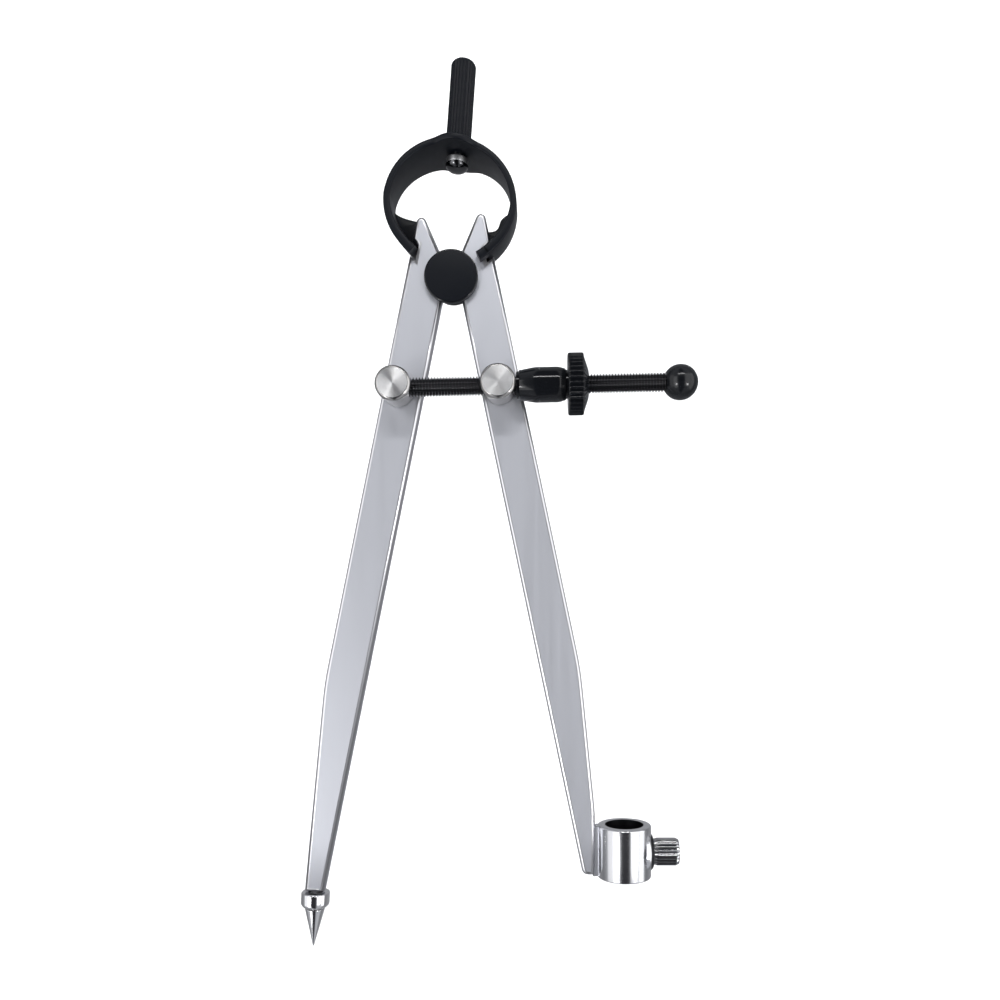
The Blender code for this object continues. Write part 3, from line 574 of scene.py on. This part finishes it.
def make_bow():
    """Each half of the strip runs from the top to its end, where it forks round the leg.

    An ear's inner edge goes out to the strip over its corner, by (t + 3t^2 - 2t^3) / 2
    on the left, and by (1 + (2t - 1)^3) / 2, which leaves a lobe, on the right.
    The last, start and ear_top are angles in degrees from straight down: the fork's
    end, where the back begins to widen, and an ear's top, below which its corner
    takes up ear_cut degrees. The widening is in millimetres, at the top of the bow,
    and ear_in is an ear's inner radius.
    """
    for side, tag, leg_angle, last, start, widening, ear_in, ear_top, ear_cut in (
        (-1, "left", LEFT_ANGLE, 35, 70, 5.7, 8.1, 88.5, 15.5),
        (1, "right", RIGHT_ANGLE, 32.5, 110, 6.2, 8.6, 96, 28),
    ):
        middle = BOW_END_RADIUS - BOW_END_THICK / 2
        meet = np.arcsin((LEG_OUTER - bow_centre_seen(side, leg_angle)[0]) / middle)
        reach = (LEFT_NOTCH if side < 0 else RIGHT_NOTCH) / cos(meet) - BOW_GAP
        web_end = max(meet + leg_angle - reach / middle + side * BOW_LEAN, radians(last))
        away = np.linspace(pi, web_end, 160)
        inner, outer = bow_radii(away)
        along = abs(BOW_RADIUS * (pi - away) - side * HANDLE_ACROSS)
        pad = np.sqrt(np.clip(PAD_RADIUS**2 - along**2, 0, None))
        growth = widening * np.clip((away - radians(start)) / radians(180 - start), 0, 1)
        front = eased_row(np.minimum(BOW_FRONT, PAD_SETBACK - pad), 6)
        back = eased_row(np.maximum(BOW_BACK + growth, PAD_SETBACK + pad), 6)
        band(
            f"bow_strip_{tag}", side * away, inner, outer, front, back, BOW_EDGE_ROUND, side
        )
        if web_end > radians(last):
            tail = np.linspace(web_end + 0.02, radians(last), 16)
            inner, outer = bow_radii(tail)
            level = 0 * tail
            band(
                f"bow_finger_{tag}", side * tail, inner, outer, level + BOW_FRONT,
                level - FORK_HALF, BOW_EDGE_ROUND, side,
            )
            band(
                f"bow_rear_{tag}", side * tail, inner, outer, level + FORK_HALF,
                level + BOW_BACK, BOW_EDGE_ROUND, side,
            )
        away = np.linspace(radians(ear_top), radians(38), 60)
        inner, outer = bow_radii(away)
        rise = np.clip((away - radians(ear_top - ear_cut)) / radians(ear_cut), 0, 1)
        grow = (rise + ease(rise)) / 2 if side < 0 else (1 + (2 * rise - 1) ** 3) / 2
        reach = ear_in + (inner - ear_in) * grow
        band(
            f"bow_ear_{tag}", side * away, reach, (inner + outer) / 2, FORK_HALF + 0 * away,
            2.9 + 0 * away, 0.25, side,
        )


# Handle and its screw

def make_handle():
    """Handle with a domed end, its collar, and the screw with its button.

    The grip's radius is 2.8 less 0.17 ((1 - cos 26a) / 2)^0.7, faded out at both ends.
    """
    axis = (sin(BOW_LEAN), 0, cos(BOW_LEAN))
    place = BOW_CENTRE + np.array(
        (HANDLE_ACROSS * cos(BOW_LEAN), PAD_SETBACK, -HANDLE_ACROSS * sin(BOW_LEAN))
    )
    base, top, grip, dome_height = 14.75, 34.65, 2.8, 1.6
    rib_count, rib_depth = 26, 0.17
    dome = np.linspace(0, pi / 2, 14)[:-1]
    outline = np.concatenate(
        (
            [(base, 2.4), (base, 2.7), (base + 0.12, grip)],
            np.stack((np.linspace(base + 0.4, top - dome_height, 40), np.full(40, grip)), -1),
            np.stack((top - dome_height + dome_height * np.sin(dome), grip * np.cos(dome)), -1)[1:],
        )
    )

    def ribs(along, angle, radius):
        fade = ease((along - base) / 0.4) * ease((top - 0.2 - along) / 1.2)
        shape = (0.5 - 0.5 * np.cos(rib_count * angle)) ** 0.7
        return -rib_depth * fade * shape * (radius / grip)

    turned(
        "handle_grip", outline, place, axis, BLACK_SATIN, "frame", ["handle"],
        312, ribs,
    )
    collar = [(11.2, 1.8), (11.2, 2.3, 0.3), (12.4, 2.42, 0.15), (12.7, 2.05, 0.1), (12.7, 1.8)]
    turned(
        "handle_collar_ring", collar, place, axis, SMOKED_CHROME, "frame", ["handle_collar"],
        96, ring=True,
    )
    turn = np.linspace(0, pi / 2, 12)[:-1]
    dome = np.stack((11.05 - 1.6 * np.sin(turn), 2.55 * np.cos(turn)), -1)
    button = np.concatenate(
        ([(20.75, 0.01), (20.75, 1.5), (11.15, 1.5), (11.15, 2.4)], dome, [(9.45, 0.01)])
    )
    turned(
        "handle_button", button, place, axis, BLACK_NICKEL, "frame", ["handle_screw"],
        96,
    )


# Studs, rod and nut

LEFT_STUD = leg_point(-1, LEFT_ANGLE, LEFT_STUD_OUTWARD, LEFT_STUD_DOWN)
RIGHT_STUD = leg_point(1, RIGHT_ANGLE, RIGHT_STUD_OUTWARD, RIGHT_STUD_DOWN)
ROD_AXIS = np.array((RIGHT_STUD[0] - LEFT_STUD[0], 0, RIGHT_STUD[1] - LEFT_STUD[1]))
SPACING = np.linalg.norm(ROD_AXIS)
ROD_AXIS = ROD_AXIS / SPACING


def make_stud(tag, spot, body):
    """Stud standing on the leg: pin, body, groove and a head with a broad bevel."""
    place = (spot[0], LEG_FRONT, spot[1])
    outline = [
        (-4.7, 0.01), (-4.7, 2.0, 0.15), (0.3, 2.0), (0.3, 3.5, 0.15), (5.8, 3.5),
        (5.8, 3.2), (6.2, 3.2), (6.2, 3.8, 0.2), (7.55, 3.8, 0.2), (8.0, 3.35, 0.15), (8.0, 0.01),
    ]
    face = turned_face(f"turned_steel_{tag}", (spot[0], 0, spot[1]))
    # Every band but the flat top face takes the darker side steel, as painted shade under the head.
    turned(
        f"{tag}_stud_body", outline, place, (0, -1, 0), face, body, [f"{tag}_stud"],
        128, second=(STUD_SIDE_SHADED, 0, 29),
    )
    ring = [(-4.4, 2.3), (-4.4, 3.1, 0.1), (-3.5, 3.1, 0.1), (-3.5, 2.3)]
    turned(
        f"{tag}_stud_clip", ring, place, (0, -1, 0), face, body, [f"{tag}_stud_ring"],
        96, ring=True,
    )


def make_rod():
    """Threaded rod with a ball on its end.

    The rod's radius is 2.1 less 0.44 (1 + cos 2 pi f) / 2, where f is s / pitch - a / 2 pi
    and the groove comes in over the first turn.
    """
    pitch, groove_depth = 0.65, 0.44
    ball_along, ball_radius = SPACING + BALL_PAST_STUD, 3.85
    start, end = -2.6, ball_along - 1.9
    place = (LEFT_STUD[0], ROD_PLANE, LEFT_STUD[1])
    along = np.arange(start, end, pitch / 10)
    outline = np.stack((along, np.full(along.shape, 2.1)), -1)

    def thread(along, angle, radius):
        groove = 0.5 + 0.5 * np.cos(2 * pi * along / pitch - angle)
        return -groove_depth * groove * np.minimum(1, (along - start) / pitch + 0.2)

    turned(
        "threaded_rod", outline, place, ROD_AXIS, BLACK_NICKEL, "rod_assembly",
        ["adjusting_rod"], 48, thread,
    )
    angle = np.linspace(2.35 / ball_radius, pi - 0.01, 60)
    ball = np.stack(
        (ball_along - ball_radius * np.cos(angle), ball_radius * np.sin(angle)), -1
    )
    turned(
        "ball_knob", ball, place, ROD_AXIS, BALL_GLOSS, "rod_assembly", ["ball_end"],
        120,
    )


def make_nut():
    """Nose, barrel and wheel of the adjusting nut.

    The barrel's spigot stands in a recess of the nose, so that no light shows between
    them. The wheel's rim has a radius of 6.62 less 0.5 ((1 - cos 36a) / 2)^1.4.
    """
    place = (RIGHT_STUD[0], ROD_PLANE, RIGHT_STUD[1])
    bore, body, wheel = 2.5, 3.76, 6.62
    nose = [
        (3.8, bore), (3.8, 2.9, 0.1), (4.4, 2.9), (4.4, 3.15, 0.15), (7.9, body, 0.5),
        (8.77, body), (8.77, 3.3), (8.4, 3.3), (8.4, bore),
    ]
    turned(
        "nut_nose_cone", nose, place, ROD_AXIS, BLACK_GLOSS, "nut", ["nut_nose"],
        128, ring=True,
    )
    barrel = [
        (8.45, bore), (8.45, 3.25), (8.79, 3.25), (8.79, body), (13.0, body, 0.5),
        (14.5, 3.3, 0.15), (14.5, 3.05), (14.86, 3.05), (14.86, bore),
    ]
    turned(
        "nut_barrel_sleeve", barrel, place, ROD_AXIS, BLACK_GLOSS, "nut", ["nut_barrel"],
        128, ring=True,
    )
    low, high = 14.9, 18.3
    corners = softened(
        [
            (low, bore), (low, wheel, 0.5), (high, wheel, 0.5), (high + 0.05, 6.0, 0.1),
            (high + 1.1, 2.9, 0.2), (high + 1.1, bore),
        ]
    )
    band_rows = np.stack((np.linspace(low + 0.4, high - 0.4, 10), np.full(10, wheel)), -1)
    outline = np.concatenate((corners[:6], band_rows, corners[6:]))

    def ribs(along, angle, radius):
        shape = (0.5 - 0.5 * np.cos(36 * angle)) ** 1.4
        return -0.5 * shape * ease((radius - 5.4) / 0.8)

    turned(
        "nut_wheel_knurled", outline, place, ROD_AXIS, BLACK_GLOSS, "nut", ["nut_wheel"],
        432, ribs, ring=True,
    )


# Point and pencil holder

def make_point():
    """Ferrule and needle on the left leg's end."""
    x, z = leg_point(-1, LEFT_ANGLE, 3.2, LEFT_END_DOWN)
    lean = LEFT_ANGLE - LEFT_END_LEAN
    axis = (-sin(lean), 0, -cos(lean))
    place = (x, LEG_MIDDLE, z)
    ferrule = [(0.3, 1.6), (0.3, 3.1, 0.35), (3.0, 3.1, 0.45), (3.6, 2.5, 0.2), (3.6, 1.6)]
    turned(
        "point_collar", ferrule, place, axis, CHROME, "left_arm", ["point_ferrule"],
        96, ring=True,
    )
    needle = [
        (2.2, 0.01), (2.2, 1.3), (3.9, 1.3), (3.9, 2.2, 0.12), (12.2, 0.13, 0.1), (12.3, 0.01),
    ]
    turned(
        "needle_point", needle, place, axis, CHROME, "left_arm", ["point"], 96
    )


def make_holder():
    """Pencil holder: sleeve, web to the leg, boss, and the clamp screw with a knurled head.

    The head's radius is 3.0 less 0.22 ((1 - cos 24a) / 2)^0.8 on its sides.
    """
    x, z = leg_point(1, RIGHT_ANGLE, 11.274, 131.48)
    place = (x, LEG_MIDDLE, z)
    half, outer, bore = 5.725, 5.95, 4.27
    sleeve = [(-half, bore), (-half, outer, 0.3), (half, outer, 0.45), (half, bore)]
    # The sleeve's bore, its last band, is painted near-black as painted shade inside the recess.
    turned(
        "holder_sleeve", sleeve, place, (0, 0, 1), SLEEVE_CHROME, "right_arm",
        ["pencil_holder"], 160, ring=True, second=(PAINTED_SHADE_DARK, 11, 12),
    )
    low, high, edge = z - 5.6, z + 5.6, x - 6.95
    outline = np.array([(edge, low), (x - 4.8, low), (x - 4.8, high), (edge, high)])
    plate(
        "holder_web", outline, LEG_FRONT + 0.8, LEG_BACK - 0.3, 0.15,
        (RIGHT_SATIN_PAINTED_LIGHTER, SLEEVE_CHROME), "right_arm", ["pencil_holder"],
    )
    clamp = (x, LEG_MIDDLE, z - 0.3)
    boss = [(4.5, 1.8), (4.5, 4.7), (5.3, 4.5, 0.4), (6.35, 3.5, 0.3), (6.35, 1.8)]
    # The boss's rounded end by the clamp head is painted near-black: painted shade and a painted
    # dark reflection of the head.
    turned(
        "holder_boss", boss, clamp, (1, 0, 0), SLEEVE_CHROME, "right_arm", ["pencil_holder"],
        128, ring=True, second=(PAINTED_SHADE_DARK, 6, 12),
    )
    rows = softened([(3.87, 0.01), (3.87, 1.5, 0.2), (6.65, 1.5), (6.65, 3.0, 0.4)])
    band_rows = np.stack((np.linspace(7.2, 11.4, 24), np.full(24, 3.0)), -1)
    last = softened([(11.95, 3.0, 0.4), (11.95, 0.01)])
    outline = np.concatenate((rows, band_rows, last))

    def knurl(along, angle, radius):
        shape = (0.5 - 0.5 * np.cos(24 * angle)) ** 0.8
        return -0.22 * shape * ease((radius - 2.6) / 0.35)

    turned(
        "clamp_screw_head", outline, clamp, (1, 0, 0), DULL_CHROME, "clamp", ["clamp_screw"],
        240, knurl,
    )


# Floor and light

def make_stage():
    """Pale floor that curves up into a backdrop, at the height of the point's tip."""
    floor = solid_box[0][2] - 0.0002
    run = np.array([(-0.05, 0), (0.3, 0), *arc((0.3, 0.3), 0.3, -pi / 2, 0, 16)[1:], (0.6, 1)])
    wide = np.array((-0.9, 0.9))
    points = np.stack(
        [np.stack((np.full(len(run), x), run[:, 0], run[:, 1] + floor), -1) for x in wide], 1
    ).reshape(-1, 3)
    mesh = bpy.data.meshes.new("floor")
    mesh.from_pydata(points.tolist(), [], grid_faces(len(run), 2, wrap_columns=False).tolist())
    mesh.shade_smooth()
    paint = shader("pale_paper", Base_Color=(0.93, 0.93, 0.935), Roughness=0.9)[0]
    mesh.materials.append(paint)
    stage = bpy.data.objects.new("floor", mesh)
    stage.visible_glossy = False
    bpy.context.scene.collection.objects.link(stage)


def make_light(name, place, target, size, power, size_y=None):
    """A soft rectangular light aimed at a point."""
    data = bpy.data.lights.new(name, "AREA")
    data.shape = "RECTANGLE"
    data.size, data.size_y = size, size_y or size
    data.energy = power
    light = bpy.data.objects.new(name, data)
    light.location = place
    direction = Vector(target) - Vector(place)
    light.rotation_euler = direction.to_track_quat("-Z", "Y").to_euler()
    bpy.context.scene.collection.objects.link(light)
    return light


def make_lights():
    """Two soft boxes and two lamps beside the camera, a strip above it, two side panels,
    and a broad light over the stage that reflections don't show."""
    middle = (0.01, 0, -0.05)
    make_light("left_box", (-0.55, -0.72, -0.2), middle, 0.42, 2.6, 1.3)
    make_light("right_box", (0.61, -0.68, 0.05), middle, 0.6, 2.8, 1.3)
    make_light("left_lamp", (-0.4, -0.65, -0.36), middle, 0.12, 1.0)
    make_light("right_lamp", (0.58, -0.6, -0.36), middle, 0.12, 1.2)
    make_light("front_top_box", (0.04, -0.6, 0.5), middle, 0.5, 1.6, 0.06)
    make_light("left_side_panel", (-0.85, -0.4, -0.02), middle, 0.5, 1.1, 1.3)
    make_light("right_side_panel", (0.85, -0.22, -0.02), middle, 0.4, 1.6, 1.3)
    stage_box = make_light("stage_box", (0, 0.2, 0.75), (0, 0.5, -0.1), 1.4, 9.5, 0.5)
    stage_box.visible_glossy = False


def make_room():
    """A grey room whose brightness changes from its front to its back, for reflections."""
    world = bpy.data.worlds.new("room")
    bpy.context.scene.world = world
    world.use_nodes = True
    tree = world.node_tree
    direction = tree.nodes.new("ShaderNodeTexCoord")
    split = tree.nodes.new("ShaderNodeSeparateXYZ")
    level = tree.nodes.new("ShaderNodeVectorMath")
    level.operation = "MULTIPLY"
    level.inputs[1].default_value = (1, 1, 0)
    unit = tree.nodes.new("ShaderNodeVectorMath")
    unit.operation = "NORMALIZE"
    ranges = tree.nodes.new("ShaderNodeMapRange")
    ranges.inputs["From Min"].default_value = -1
    ramp = tree.nodes.new("ShaderNodeValToRGB")
    stops = ramp.color_ramp.elements
    stops[0].position, stops[0].color = 0.015, (0.03, 0.03, 0.034, 1)
    stops[1].position, stops[1].color = 0.07, (0.42, 0.43, 0.46, 1)
    for position, glow in ((0.3, 0.5), (0.48, 0.34), (0.62, 0.2), (1, 0.34)):
        stops.new(position).color = (glow, 1.02 * glow, 1.07 * glow, 1)
    tree.links.new(direction.outputs["Generated"], level.inputs[0])
    tree.links.new(level.outputs["Vector"], unit.inputs[0])
    tree.links.new(unit.outputs["Vector"], split.inputs["Vector"])
    tree.links.new(split.outputs["Y"], ranges.inputs["Value"])
    tree.links.new(ranges.outputs["Result"], ramp.inputs["Fac"])
    tree.links.new(ramp.outputs["Color"], tree.nodes["Background"].inputs["Color"])
    bpy.context.scene.view_settings.view_transform = "Standard"


make_legs()
make_fulcrum()
make_bow()
make_handle()
make_stud("left", LEFT_STUD, "rod_assembly")
make_stud("right", RIGHT_STUD, "nut_seat")
make_rod()
make_nut()
make_point()
make_holder()
make_stage()
make_lights()
make_room()
